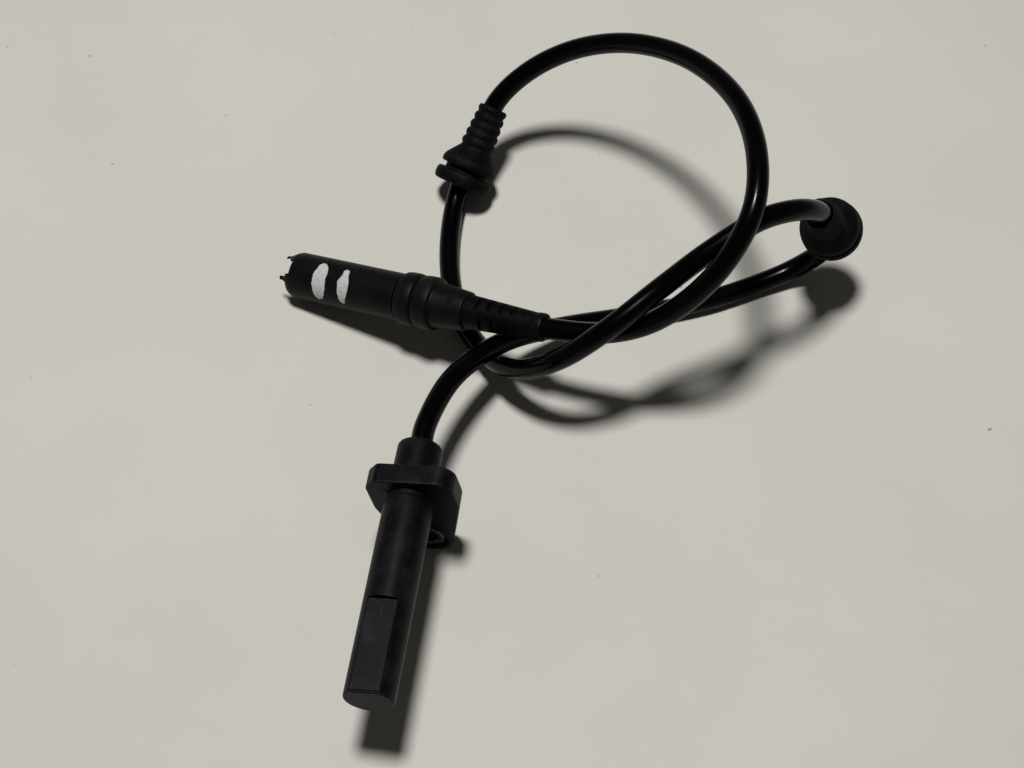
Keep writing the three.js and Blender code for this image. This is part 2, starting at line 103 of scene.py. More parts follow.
# The camera and the lamp
CAMERA_PLACE = (0.0582, -0.1904, 0.4392)
CAMERA_AZIMUTH = math.radians(-8.68)
CAMERA_ELEVATION = math.radians(58.54)
FOCAL_LENGTH_MM = 63.28
LAMP_SIZE = 0.22
LAMP_DISTANCE = 1.3
LAMP_DIRECTION = (-0.084, 0.051, 1.0)
LAMP_TARGET = Vector((0.03, 0.06, 0.0))

groups = {}
finishes = {}


def metres(name, description, default):
    """A length that the panel shows."""
    return FloatProperty(name=name, description=description, default=default, unit="LENGTH")


def tint(name, description, default):
    """A colour that the panel shows."""
    return FloatVectorProperty(name=name, description=description, default=default, subtype="COLOR")


class HeadSizes(bpy.types.PropertyGroup):
    """Sizes of the sensor head"""
    barrel_diameter: metres("Barrel Diameter", "Across the round barrel", 0.013)
    barrel_length: metres("Barrel Length", "From the tip to the flange plate", 0.0559)
    flat_half_width: metres("Flat Half Width", "Half the width of the insert behind the flat", 0.00375)
    flat_height: metres("Flat Height", "The flat's height over the barrel's axis", 0.0053)
    slot_length: metres("Slot Length", "From the tip to the half-moon wall behind the insert", 0.0253)
    flange_thickness: metres("Flange Thickness", "Of the bolted plate, along the barrel", 0.0055)
    bolt_distance: metres("Bolt Distance", "From the barrel's axis to the bush", 0.0207)
    boss_diameter: metres("Boss Diameter", "Of the round end that the cable leaves", 0.012)
    boss_length: metres("Boss Length", "Of the round end that the cable leaves", 0.0101)


class CableSizes(bpy.types.PropertyGroup):
    """Sizes of the cable"""
    diameter: metres("Cable Diameter", "Over the jacket", 0.0059)
    ring_spacing: metres("Ring Spacing", "Between neighbouring rings of the tube", 0.0014)
    sides: IntProperty(name="Sides", description="Faces around the tube", default=24, min=8, max=64)


class GrommetSizes(bpy.types.PropertyGroup):
    """Sizes of the wall grommets"""
    length: metres("Grommet Length", "From the flange to the last rib", 0.0255)
    flange_radius: metres("Flange Radius", "Of the disc that rests on the wall", 0.0088)
    groove_radius: metres("Groove Radius", "Of the groove that the wall's edge fills", 0.0066)
    lip_radius: metres("Lip Radius", "Of the lip that is pushed through the wall", 0.0084)
    ribs: IntProperty(name="Ribs", description="On the tapering bellows", default=5, min=2, max=12)


class PlugSizes(bpy.types.PropertyGroup):
    """Sizes of the plug and its boot"""
    boot_length: metres("Boot Length", "Of the strain relief boot", 0.024)
    ring_radius: metres("Ring Radius", "Of the two round grip rings", 0.0077)
    sleeve_radius: metres("Sleeve Radius", "Of the plug's round sleeve", 0.0068)
    sleeve_wall: metres("Sleeve Wall", "Thickness of the sleeve", 0.00135)
    nose: metres("Nose", "Place of the sleeve's rim along the plug", 0.0822)


class SensorFinishes(bpy.types.PropertyGroup):
    """Colours of the sensor's finishes"""
    housing: tint("Housing", "Moulded head", (0.0025, 0.0029, 0.0034))
    insert: tint("Insert", "Moulded insert behind the flat", (0.0036, 0.0046, 0.0058))
    jacket: tint("Jacket", "Glossy cable jacket", (0.0008, 0.0009, 0.0010))
    grommet: tint("Grommet", "Dusty grommet rubber", (0.0014, 0.0015, 0.0015))
    boot: tint("Boot", "Rubber of the strain relief", (0.0008, 0.0009, 0.0010))
    plug: tint("Plug", "Moulded plug body and sleeve", (0.0021, 0.0024, 0.0024))
    dust: tint("Dust", "Pale dust on upper faces", (0.13, 0.135, 0.14))
    paint: tint("Paint", "The two plain paint dabs on the sleeve", (0.50, 0.50, 0.49))


class SensorStage(bpy.types.PropertyGroup):
    """Floor and lamps"""
    floor: tint("Floor", "Pale paper under the sensor", (0.572, 0.556, 0.50))
    key_power: FloatProperty(
        name="Key Power", description="Watts of the lamp overhead", default=16.2, subtype="POWER")
    fill: FloatProperty(
        name="Fill", description="Strength of the room's faint light", default=0.05, min=0.0)


# Shapes

def rounded(corners, radius, steps=4, closed=False):
    """Smooths an outline: each corner becomes a quadratic curve that starts and ends its radius away.

    A curve is (1-t)^2 a + 2t(1-t) c + t^2 b, with the corner c as its handle. Returns the points and,
    for each, how near it is to the middle of its curve, from 0 to 1.
    """
    corners = np.asarray(corners, float)
    radius = np.broadcast_to(np.asarray(radius, float), (len(corners),))

    def part_way(neighbour):
        step = neighbour - corners
        reach = np.maximum(np.linalg.norm(step, axis=1), 1e-9)
        return corners + step * (np.minimum(radius, 0.45 * reach) / reach)[:, None]

    start = part_way(np.roll(corners, 1, axis=0))
    end = part_way(np.roll(corners, -1, axis=0))
    t = np.linspace(0.0, 1.0, steps + 1)[None, :, None]
    curves = (1 - t) ** 2 * start[:, None] + 2 * t * (1 - t) * corners[:, None] + t ** 2 * end[:, None]
    edge = np.broadcast_to(4 * t * (1 - t), curves.shape[:2] + (1,))[..., 0].copy()
    if closed:
        return curves.reshape(-1, 2), edge.reshape(-1)
    inner = slice(1, -1)
    points = np.vstack([corners[:1], curves[inner].reshape(-1, 2), corners[-1:]])
    return points, np.concatenate([[0.0], edge[inner].reshape(-1), [0.0]])


def around(sides):
    """Angles evenly round a piece, measured from +Z towards +X."""
    return np.arange(sides) * (2 * math.pi / sides)


def turned(profile, sides=TURNED_SIDES):
    """Points of a turned surface: (r sin a, s, r cos a) for each profile point (r, s) and angle a."""
    radius, place = np.asarray(profile, float).T[:, :, None]
    angle = around(sides)[None, :]
    return np.stack([radius * np.sin(angle), place + 0 * angle, radius * np.cos(angle)], axis=2)


def carried(section, places, scale=1.0):
    """A section of (x, z) points carried along Y: a row at each place, made smaller by its scale."""
    places = np.asarray(places, float)
    xz = section * np.broadcast_to(scale, places.shape)[:, None, None]
    y = np.broadcast_to(places[:, None, None], xz.shape[:2] + (1,))
    return np.concatenate([xz[..., :1], y, xz[..., 1:]], axis=2)


def quad_corners(grid):
    """The four corners of every cell of a grid."""
    return np.stack([grid[:-1, :-1], grid[:-1, 1:], grid[1:, 1:], grid[1:, :-1]], axis=2)


def grid_faces(rows, columns, close_rows=False):
    """Quads between neighbouring rows and columns; the columns run all the way round."""
    number = np.arange(rows * columns).reshape(rows, columns)
    number = np.hstack([number, number[:, :1]])
    if close_rows:
        number = np.vstack([number, number[:1]])
    return quad_corners(number).reshape(-1, 4)


def corner_uv(u, v):
    """UV for each corner of grid_faces, from u at each column and v at each row and column."""
    return quad_corners(np.stack(np.broadcast_arrays(u, v), axis=2)).reshape(-1, 2)


def grid_uv(points, close_rows=False):
    """UV in metres for each corner: round the widest row, and along the mean of the columns."""
    round_steps = np.diff(np.concatenate([points, points[:, :1]], axis=1), axis=1)
    round_steps = np.linalg.norm(round_steps, axis=2)
    widest = round_steps[round_steps.sum(axis=1).argmax()]
    along = np.concatenate([points, points[:1]]) if close_rows else points
    along_steps = np.linalg.norm(np.diff(along, axis=0), axis=2).mean(axis=1)
    u = np.concatenate([[0.0], np.cumsum(widest)])
    v = np.concatenate([[0.0], np.cumsum(along_steps)])
    return corner_uv(u, v[:, None])


def make_piece(name, points, finish_name, place=Matrix.Identity(4), close_rows=False, edge=None,
               sharp=40, uv=None):
    """Puts a grid of points (rows, round, 3) into a closed mesh.

    Open ends get a fan to their middle, faces are turned outwards by the sign of the volume that they
    enclose, and place is put into the points. Edge is the edge mark at each row, or at each point:
    rubbing and a painted highlight along the edges.
    """
    rows, columns = points.shape[:2]
    vertices = points.reshape(-1, 3)
    quads = grid_faces(rows, columns, close_rows)
    faces = quads.tolist()
    coords = grid_uv(points, close_rows) if uv is None else uv
    wear = np.zeros((rows, columns))
    if edge is not None:
        wear += edge[:, None] if edge.ndim == 1 else edge
    wear = wear.reshape(-1)
    a, b, c, d = (vertices[quads[:, k]] for k in range(4))
    volume = np.sum(a * np.cross(b, c)) + np.sum(a * np.cross(c, d))
    if not close_rows:
        first = np.arange(columns)
        second = (first + 1) % columns
        last = (rows - 1) * columns
        middle = np.full(columns, rows * columns)
        fans = np.vstack([np.stack([middle, second, first], axis=1),
                          np.stack([middle + 1, last + first, last + second], axis=1)])
        vertices = np.vstack([vertices, points[0].mean(axis=0), points[-1].mean(axis=0)])
        wear = np.concatenate([wear, [0.0, 0.0]])
        p, q, r = (vertices[fans[:, k]] for k in range(3))
        volume += np.sum(p * np.cross(q, r))
        coords = np.vstack([coords, vertices[fans.reshape(-1)][:, [0, 2]]])
        faces += fans.tolist()
    vertices = vertices @ np.array(place.to_3x3()).T + np.array(place.translation)
    mesh = bpy.data.meshes.new(name)
    mesh.from_pydata(vertices.tolist(), [], faces)
    layer = mesh.uv_layers.new(name="UVMap")
    layer.data.foreach_set("uv", coords.astype(np.float32).reshape(-1))
    wear_and_highlight_mask = mesh.attributes.new("edge", "FLOAT", "POINT")
    wear_and_highlight_mask.data.foreach_set("value", wear.astype(np.float32))
    if volume < 0:
        mesh.flip_normals()
    mesh.validate()
    mesh.shade_smooth()
    mesh.set_sharp_from_angle(angle=math.radians(sharp))
    mesh.materials.append(finishes[finish_name])
    piece = bpy.data.objects.new(name, mesh)
    bpy.context.scene.collection.objects.link(piece)
    return piece


def cut_away(piece, *tools):
    """Takes the tools' solids out of a piece, keeps the result in its mesh, and deletes the tools."""
    for tool in tools:
        modifier = piece.modifiers.new("cut", "BOOLEAN")
        modifier.operation = "DIFFERENCE"
        modifier.solver = "EXACT"
        modifier.object = tool
    graph = bpy.context.evaluated_depsgraph_get()
    graph.update()
    result = bpy.data.meshes.new_from_object(piece.evaluated_get(graph))
    piece.modifiers.clear()
    old, piece.data = piece.data, result
    name = old.name
    bpy.data.meshes.remove(old)
    result.name = name
    for tool in tools:
        data = tool.data
        bpy.data.objects.remove(tool)
        bpy.data.meshes.remove(data)
    if len(result.polygons) < 12:
        raise RuntimeError(f"{piece.name} is empty after its cuts")


def even_shading(piece):
    """Weights the normals by face area, so that flat faces stay flat beside their rounding."""
    weighted = piece.modifiers.new("even shading", "WEIGHTED_NORMAL")
    weighted.keep_sharp = True
    return piece


def belongs(piece, slot, *nodes):
    """Keeps a piece with the root and hides the parts that it replaces; the slot is not used."""
    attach(piece, "root")
    if nodes:
        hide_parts(*nodes)


def head_piece(name, points, finish_name="housing_plastic", **details):
    """A piece of the head, turned about the barrel and laid in its place on the table."""
    place = Matrix.Translation(HEAD_PLACE) @ Matrix.Rotation(HEAD_ROLL, 4, "Y")
    return make_piece(name, points, finish_name, place, **details)


def heading_place(start, heading):
    """Lays a piece that is made along Y onto a start and a heading."""
    turn = BARREL_ALONG.rotation_difference(Vector(heading).normalized())
    return Matrix.Translation(Vector(start)) @ turn.to_matrix().to_4x4()


def plug_place():
    """The plug's place, from the end of the cable."""
    return heading_place(PLUG["entry"], PLUG["heading"])


def stations(start, heading, distances):
    """Points along a straight stretch that a stiff piece holds."""
    direction = np.array(Vector(heading).normalized())
    return np.asarray(start, float) + np.asarray(distances, float)[:, None] * direction


def smooth_route(points, per_span=40):
    """A centripetal Catmull-Rom curve: each span is a cubic between two points.

    Its end slopes come from the neighbours, weighted by the square roots of the spans' lengths.
    """
    p = np.asarray(points, float)
    p = np.vstack([2 * p[0] - p[1], p, 2 * p[-1] - p[-2]])
    root = np.sqrt(np.linalg.norm(np.diff(p, axis=0), axis=1))[:, None]
    before, span, after = root[:-2], root[1:-1], root[2:]
    p0, p1, p2, p3 = p[:-3], p[1:-2], p[2:-1], p[3:]
    leave = ((p1 - p0) / before - (p2 - p0) / (before + span) + (p2 - p1) / span) * span
    arrive = ((p2 - p1) / span - (p3 - p1) / (span + after) + (p3 - p2) / after) * span
    t = np.linspace(0, 1, per_span, endpoint=False)[None, :, None]
    p1, p2, leave, arrive = (q[:, None] for q in (p1, p2, leave, arrive))
    curve = (p1 + leave * t + (3 * (p2 - p1) - 2 * leave - arrive) * t ** 2
             + (2 * (p1 - p2) + leave + arrive) * t ** 3)
    return np.vstack([curve.reshape(-1, 3), p[-2:-1]])


def evenly(path, spacing):
    """Points at even distances along a path, by linear steps between its close points."""
    run = np.concatenate([[0.0], np.cumsum(np.linalg.norm(np.diff(path, axis=0), axis=1))])
    wanted = np.linspace(0, run[-1], int(round(run[-1] / spacing)) + 1)
    even = np.stack([np.interp(wanted, run, path[:, k]) for k in range(3)], axis=1)
    return even, float(run[-1])


def tube_rings(path, radius, sides):
    """Rings round a path: centre + radius (side cos a + up sin a).

    Side is square to the path and to one fixed direction. Of 400 directions spread evenly over a
    sphere, that is the one that the path runs along least.
    """
    slope = np.gradient(path, axis=0)
    slope /= np.linalg.norm(slope, axis=1)[:, None]
    turns = np.arange(400)
    height = 1 - 2 * (turns + 0.5) / len(turns)
    swing = turns * math.pi * (3 - math.sqrt(5))
    flat = np.sqrt(1 - height ** 2)
    candidates = np.stack([flat * np.cos(swing), flat * np.sin(swing), height], axis=1)
    fixed = candidates[np.abs(slope @ candidates.T).max(axis=0).argmin()]
    side = np.cross(slope, fixed)
    side /= np.linalg.norm(side, axis=1)[:, None]
    up = np.cross(slope, side)
    angle = around(sides)[None, :, None]
    return path[:, None] + radius * (side[:, None] * np.cos(angle) + up[:, None] * np.sin(angle))


def cable_exit(scene):
    """Where the cable leaves the head."""
    head = scene.sensor_head
    return HEAD_PLACE + (head.barrel_length + head.flange_thickness + head.boss_length) * BARREL_ALONG


def cable_path(scene):
    """The cable's middle line in even steps, from inside the head to inside the boot; its length."""
    grommet = scene.sensor_grommet.length
    on_grommet = [-0.002, grommet / 2, grommet + 0.002]
    route = np.vstack([
        stations(cable_exit(scene), BARREL_ALONG, [-0.0176, 0.0, 0.006]),
        ROUTE_TO_RAISED_GROMMET,
        stations(RAISED_GROMMET["flange"], RAISED_GROMMET["heading"], on_grommet),
        ROUTE_TO_LOW_GROMMET,
        stations(LOW_GROMMET["flange"], LOW_GROMMET["heading"], on_grommet),
        ROUTE_TO_PLUG,
        stations(PLUG["entry"], PLUG["heading"], [0.0, 0.016]),
    ])
    return evenly(smooth_route(route), scene.sensor_cable.ring_spacing)


# Finishes

def shade(colour, factor=1.0):
    """A colour made darker by a factor, with full alpha."""
    return tuple(factor * c for c in colour) + (1.0,)


def fill_in(node, inputs):
    """Gives a node its inputs: a socket is linked, and a number or colour is set."""
    for key, value in inputs.items():
        if isinstance(value, bpy.types.NodeSocket):
            node.id_data.links.new(value, node.inputs[key])
        else:
            node.inputs[key].default_value = value
    return node


def put(kind, inputs, **settings):
    """Adds a node, with its settings, to the tree of the sockets that feed it."""
    tree = next(v.id_data for v in inputs.values() if isinstance(v, bpy.types.NodeSocket))
    node = tree.nodes.new(kind)
    for name, value in settings.items():
        setattr(node, name, value)
    return fill_in(node, inputs)


def noise(vector, scale, detail=4.0, roughness=0.55):
    """A noise texture read at a vector."""
    inputs = {"Vector": vector, "Scale": scale, "Detail": detail, "Roughness": roughness}
    return put("ShaderNodeTexNoise", inputs).outputs["Fac"]


def ramp(value, low, high, out_low=0.0, out_high=1.0):
    """Maps a value from low..high to out_low..out_high, smoothly and clamped."""
    inputs = {"Value": value, "From Min": low, "From Max": high, "To Min": out_low, "To Max": out_high}
    return put("ShaderNodeMapRange", inputs, interpolation_type="SMOOTHSTEP").outputs["Result"]


def maths(operation, *values, clamp=False):
    """A Math node on sockets or numbers."""
    inputs = dict(enumerate(values))
    return put("ShaderNodeMath", inputs, operation=operation, use_clamp=clamp).outputs["Value"]


def mix_colour(amount, first, second):
    """Mixes two colours by a mask."""
    return put("ShaderNodeMix", {"Factor": amount, 6: first, 7: second}, data_type="RGBA").outputs[2]


def part(vector, axis):
    """One part of a vector."""
    return put("ShaderNodeSeparateXYZ", {"Vector": vector}).outputs[axis]


def new_group(name, inputs, output):
    """A shader node group that reads a Vector and named inputs, and puts out one named value."""
    tree = bpy.data.node_groups.new(name, "ShaderNodeTree")
    tree.interface.new_socket(name="Vector", in_out="INPUT", socket_type="NodeSocketVector")
    for label, value in inputs.items():
        kind = "NodeSocketVector" if isinstance(value, tuple) else "NodeSocketFloat"
        socket = tree.interface.new_socket(name=label, in_out="INPUT", socket_type=kind)
        socket.default_value = value
    tree.interface.new_socket(name=output, in_out="OUTPUT", socket_type="NodeSocketFloat")
    given = tree.nodes.new("NodeGroupInput").outputs
    return tree, given, tree.nodes.new("NodeGroupOutput").inputs[output]


def dust_group():
    """Dust that settles on upper faces, in soft patches with fine specks."""
    tree, given, dust = new_group(
        "dust_film", {"Patch Scale": 90.0, "Speck Scale": 2600.0, "Amount": 0.3}, "Dust")
    normal = tree.nodes.new("ShaderNodeNewGeometry").outputs["Normal"]
    upward = ramp(part(normal, "Z"), -0.35, 1.0, 0.18, 1.0)
    patches = ramp(noise(given["Vector"], given["Patch Scale"], 6.0), 0.44, 0.8)
    specks = ramp(noise(given["Vector"], given["Speck Scale"], 2.0), 0.5, 0.74)
    lifted = maths("MULTIPLY_ADD", specks, 0.45, patches)
    settled = maths("MULTIPLY", lifted, upward)
    tree.links.new(maths("MULTIPLY", settled, given["Amount"], clamp=True), dust)
    return tree


def grain_group():
    """Fine moulded grain with slow unevenness, as a height."""
    tree, given, height = new_group(
        "moulded_grain", {"Grain Scale": 4200.0, "Wave Scale": 220.0, "Wave": 0.5}, "Height")
    fine = noise(given["Vector"], given["Grain Scale"], 3.0, 0.6)
    slow = noise(given["Vector"], given["Wave Scale"], 2.0, 0.4)
    tree.links.new(maths("MULTIPLY_ADD", slow, given["Wave"], fine), height)
    return tree


def wear_group():
    """Rubbed edges with a painted highlight on them: the piece's own edge mark, broken up by noise."""
    tree, given, wear_and_highlight_mask = new_group("worn_and_highlit_edges", {"Amount": 0.5}, "Worn")
    mark = tree.nodes.new("ShaderNodeAttribute")
    mark.attribute_name = "edge"
    broken = ramp(noise(given["Vector"], 900.0, 5.0), 0.36, 0.66)
    marked = maths("MULTIPLY", mark.outputs["Fac"], broken)
    tree.links.new(maths("MULTIPLY", marked, given["Amount"], clamp=True), wear_and_highlight_mask)
    return tree


def scuff_group():
    """Long fine scuffs and rubbed patches, as a mask: noise that is stretched along one way."""
    tree, given, scuff = new_group(
        "scuffs", {"Stretch": (2600.0, 120.0, 2600.0), "Amount": 0.5}, "Scuff")
    stretch = {0: given["Vector"], 1: given["Stretch"]}
    scaled = put("ShaderNodeVectorMath", stretch, operation="MULTIPLY")
    lines = ramp(noise(scaled.outputs["Vector"], 1.0, 2.0), 0.62, 0.75)
    patches = ramp(noise(given["Vector"], 260.0, 3.0), 0.45, 0.7)
    rubbed = maths("MULTIPLY", lines, patches)
    tree.links.new(maths("MULTIPLY", rubbed, given["Amount"], clamp=True), scuff)
    return tree


def placed_group(group, vector, **values):
    """A node group put into a material, with its own values; names use _ for a space."""
    inputs = {label.replace("_", " ").title(): value for label, value in values.items()}
    inputs["Vector"] = vector
    return put("ShaderNodeGroup", inputs, node_tree=groups[group]).outputs[0]


def new_material(name):
    """A material with nodes, and its tree."""
    material = bpy.data.materials.new(name)
    material.use_nodes = True
    return material, material.node_tree


def finish(name, colour, roughness, dust_colour=None, dust=0.3, patch_scale=90.0, grain=0.25,
           grain_scale=4200.0, grain_depth=0.00004, wear=0.3, wear_and_highlight_colour=(0.024, 0.025, 0.026),
           scuff=0.3, metallic=0.0, specular=0.12, use_uv=False, paint=None):
    """One finish: a base colour with dust, rubbed edges with a painted highlight and scuffs on it, and
    a grain that bumps it.
    """
    finishes[name], tree = new_material(name)
    place = tree.nodes.new("ShaderNodeTexCoord").outputs
    spot = place["Object"]
    film = placed_group("dust", spot, patch_scale=patch_scale, amount=dust)
    wear_and_highlight_mask = placed_group("wear", spot, amount=wear)
    scuffed = placed_group("scuff", place["UV"] if use_uv else spot, amount=scuff)
    height = placed_group("grain", spot, grain_scale=grain_scale)
    over = shade(dust_colour or bpy.context.scene.sensor_finishes.dust)
    tone = ramp(noise(spot, 70.0, 3.0), 0.35, 0.65)
    top = mix_colour(tone, shade(colour, 0.72), shade(colour))
    # The edge mark lays the lighter colour on rubbed edges, and so paints a highlight along them too;
    # scuffs take the same colour.
    for mask, layer in ((wear_and_highlight_mask, shade(wear_and_highlight_colour)), (film, over), (scuffed, shade(wear_and_highlight_colour))):
        top = mix_colour(mask, top, layer)
    if paint:
        top = mix_colour(paint_mask(place["UV"], spot), top, shade(paint))
    rough = maths("MULTIPLY_ADD", film, 0.5, roughness)
    bump = put("ShaderNodeBump", {"Strength": grain, "Distance": grain_depth, "Height": height})
    fill_in(tree.nodes["Principled BSDF"], {
        "Base Color": top, "Metallic": metallic, "Specular IOR Level": specular,
        "Roughness": maths("MULTIPLY_ADD", scuffed, 0.25, rough, clamp=True),
        "Normal": bump.outputs["Normal"]})


def paint_mask(uv, spot):
    """Two plain paint dabs: ovals on the unrolled sleeve, with an uneven brushed edge.

    UV is metres round the sleeve from its upper line and metres from the sleeve's back. Each oval is
    1 where ((u-u0)/a)^2 + ((v-v0)/b)^2 + 1.5 noise is below 1.62, and is gone at 1.75.
    """
    uneven = noise(spot, 420.0, 4.0)
    total = 0.0
    for round_place, along_place, half_round, half_along in DABS:
        reach = 0.0
        for axis, middle, half in (("X", round_place, half_round), ("Y", along_place, half_along)):
            off = maths("DIVIDE", maths("SUBTRACT", part(uv, axis), middle), half)
            reach = maths("MULTIPLY_ADD", off, off, reach)
        edge = maths("MULTIPLY_ADD", uneven, 1.5, reach)
        total = maths("MAXIMUM", ramp(edge, 1.62, 1.75, 1.0, 0.0), total)
    thin = ramp(noise(spot, 1500.0, 3.0), 0.2, 0.5, 0.55, 1.0)
    return maths("MULTIPLY", total, thin)


def make_finishes(colours):
    """Every finish of the sensor, under the name of the record's material slot."""
    groups.update(dust=dust_group(), grain=grain_group(), wear=wear_group(), scuff=scuff_group())
    finish("housing_plastic", colours.housing, 0.42, dust=0.07, patch_scale=170.0, grain=0.35,
           wear=0.45, scuff=0.7, wear_and_highlight_colour=(0.034, 0.035, 0.036), specular=0.075)
    finish("carrier_plastic", colours.insert, 0.5, dust=0.07, patch_scale=190.0, grain=0.3, wear=0.6,
           scuff=0.6, wear_and_highlight_colour=(0.034, 0.036, 0.04))
    # The bush's steel is painted very dark, and its dust darker still, as painted shade: the bush lies
    # in the shade of the barrel and the plate. Its light edge colour is partly a painted glint.
    finish("bush_steel", (0.075, 0.072, 0.07), 0.42, (0.03, 0.028, 0.026), dust=0.4, metallic=1.0,
           grain=0.2, wear=0.4, wear_and_highlight_colour=(0.22, 0.22, 0.21), scuff=0.5)
    finish("magnet_metal", (0.4, 0.41, 0.43), 0.28, dust=0.05, metallic=1.0, grain=0.15)
    finish("contact_brass", (0.62, 0.46, 0.2), 0.3, (0.3, 0.22, 0.1), dust=0.1, metallic=1.0,
           grain=0.15, wear_and_highlight_colour=(0.75, 0.6, 0.32))
    finish("cable_jacket", colours.jacket, 0.2, dust=0.005, patch_scale=60.0, grain=0.10,
           grain_scale=1500.0, grain_depth=0.00003, wear=0.0, scuff=0.1,
           wear_and_highlight_colour=(0.015, 0.015, 0.016), specular=0.11, use_uv=True)
    finish("grommet_rubber", colours.grommet, 0.62, dust=0.045, patch_scale=210.0, grain=0.4,
           grain_scale=3200.0, wear=0.4, scuff=0.2, wear_and_highlight_colour=(0.022, 0.022, 0.022), specular=0.07)
    finish("boot_rubber", colours.boot, 0.5, dust=0.02, patch_scale=260.0, grain=0.3, wear=0.25,
           scuff=0.12, specular=0.08)
    for name, paint in (("plug_plastic", None), ("painted_plug_plastic", colours.paint)):
        finish(name, colours.plug, 0.48, dust=0.035, patch_scale=110.0, grain=0.3, paint=paint)
    for name, colour, roughness, dust, grain in (
            ("chip_epoxy", (0.008, 0.008, 0.009), 0.3, 0.05, 0.2),
            ("capacitor_ceramic", (0.3, 0.17, 0.08), 0.45, 0.05, 0.3),
            ("signal_insulation", (0.11, 0.045, 0.02), 0.35, 0.03, 0.12),
            ("supply_insulation", (0.012, 0.012, 0.014), 0.35, 0.03, 0.12),
            ("insert_plastic", (0.02, 0.022, 0.026), 0.5, 0.1, 0.25),
            ("seal_rubber", (0.03, 0.08, 0.16), 0.4, 0.04, 0.2)):
        finish(name, colour, roughness, dust=dust, grain=grain)


def make_camera(scene):
    """Looks at the sensor from the place of the photograph."""
    lens = bpy.data.cameras.new("camera")
    lens.lens = FOCAL_LENGTH_MM
    lens.sensor_width = 36.0
    camera = bpy.data.objects.new("camera", lens)
    looking = Vector((math.sin(CAMERA_AZIMUTH) * math.cos(CAMERA_ELEVATION),
                      math.cos(CAMERA_AZIMUTH) * math.cos(CAMERA_ELEVATION),
                      -math.sin(CAMERA_ELEVATION)))
    camera.location = CAMERA_PLACE
    camera.rotation_euler = looking.to_track_quat("-Z", "Y").to_euler()
    scene.collection.objects.link(camera)
    scene.camera = camera


def make_floor(scene):
    """A wide sheet of pale paper with faint blotches, fibre grain and specks of grit."""
    paper = scene.sensor_stage.floor
    mesh = bpy.data.meshes.new("paper_floor")
    reach = 3.0
    mesh.from_pydata([(-reach, -reach, 0), (reach, -reach, 0), (reach, reach, 0), (-reach, reach, 0)],
                     [], [(0, 1, 2, 3)])
    floor = bpy.data.objects.new("paper_floor", mesh)
    scene.collection.objects.link(floor)
    material, tree = new_material("pale_paper")
    spot = tree.nodes.new("ShaderNodeTexCoord").outputs["Object"]
    blotch = ramp(noise(spot, 14.0, 5.0), 0.3, 0.7)
    fibre = noise(spot, 900.0, 5.0, 0.7)
    pits = ramp(fibre, 0.55, 0.8, 0.0, 0.5)
    grit = ramp(noise(spot, 330.0, 1.0), 0.795, 0.83, 0.0, 0.8)
    top = mix_colour(blotch, shade(paper, 0.955), shade(paper))
    top = mix_colour(pits, top, shade(paper, 0.9))
    top = mix_colour(grit, top, shade(paper, 0.35))
    bump = put("ShaderNodeBump", {"Strength": 0.25, "Distance": 0.0001, "Height": fibre})
    fill_in(tree.nodes["Principled BSDF"], {
        "Base Color": top, "Roughness": 0.8, "Specular IOR Level": 0.15,
        "Normal": bump.outputs["Normal"]})
    mesh.materials.append(material)


def make_lamps(scene):
    """One strong lamp overhead, as in the photograph, and a faint room that is paler low down."""
    lamp = bpy.data.lights.new("key", "AREA")
    lamp.shape = "DISK"
    lamp.size = LAMP_SIZE
    lamp.energy = scene.sensor_stage.key_power
    key = bpy.data.objects.new("key", lamp)
    direction = Vector(LAMP_DIRECTION).normalized()
    key.location = LAMP_TARGET + LAMP_DISTANCE * direction
    key.rotation_euler = direction.to_track_quat("Z", "Y").to_euler()
    scene.collection.objects.link(key)
    world = bpy.data.worlds.new("room")
    scene.world = world
    world.use_nodes = True
    tree = world.node_tree
    generated = tree.nodes.new("ShaderNodeTexCoord").outputs["Generated"]
    low = ramp(part(generated, "Z"), 0.1, 0.6, 0.14, 0.02)
    rays = tree.nodes.new("ShaderNodeLightPath").outputs
    mirrored = maths("MAXIMUM", rays["Is Glossy Ray"], rays["Is Transmission Ray"])
    seen = maths("MAXIMUM", rays["Is Camera Ray"], mirrored)
    strength = put("ShaderNodeMix", {"Factor": seen, 2: scene.sensor_stage.fill, 3: low})
    fill_in(tree.nodes["Background"], {
        "Color": (1.0, 0.985, 0.95, 1.0), "Strength": strength.outputs[0]})


class SENSOR_OT_stage(bpy.types.Operator):
    """Make the finishes, the floor, the lamps and the camera"""

    bl_idname = "sensor.stage"
    bl_label = "Stage"

    def execute(self, context):
        scene = context.scene
        scene.view_settings.view_transform = "Standard"
        make_finishes(scene.sensor_finishes)
        make_camera(scene)
        make_floor(scene)
        make_lamps(scene)
        return {"FINISHED"}


class SENSOR_OT_cable(bpy.types.Operator):
    """Make the cable along its route"""

    bl_idname = "sensor.cable"
    bl_label = "Cable"

    def execute(self, context):
        sizes = context.scene.sensor_cable
        path, _ = cable_path(context.scene)
        rings = tube_rings(path, sizes.diameter / 2, sizes.sides)
        cable = make_piece("cable_run", rings, "cable_jacket", sharp=60)
        belongs(cable, "cable_jacket", "sensor_cable")
        return {"FINISHED"}


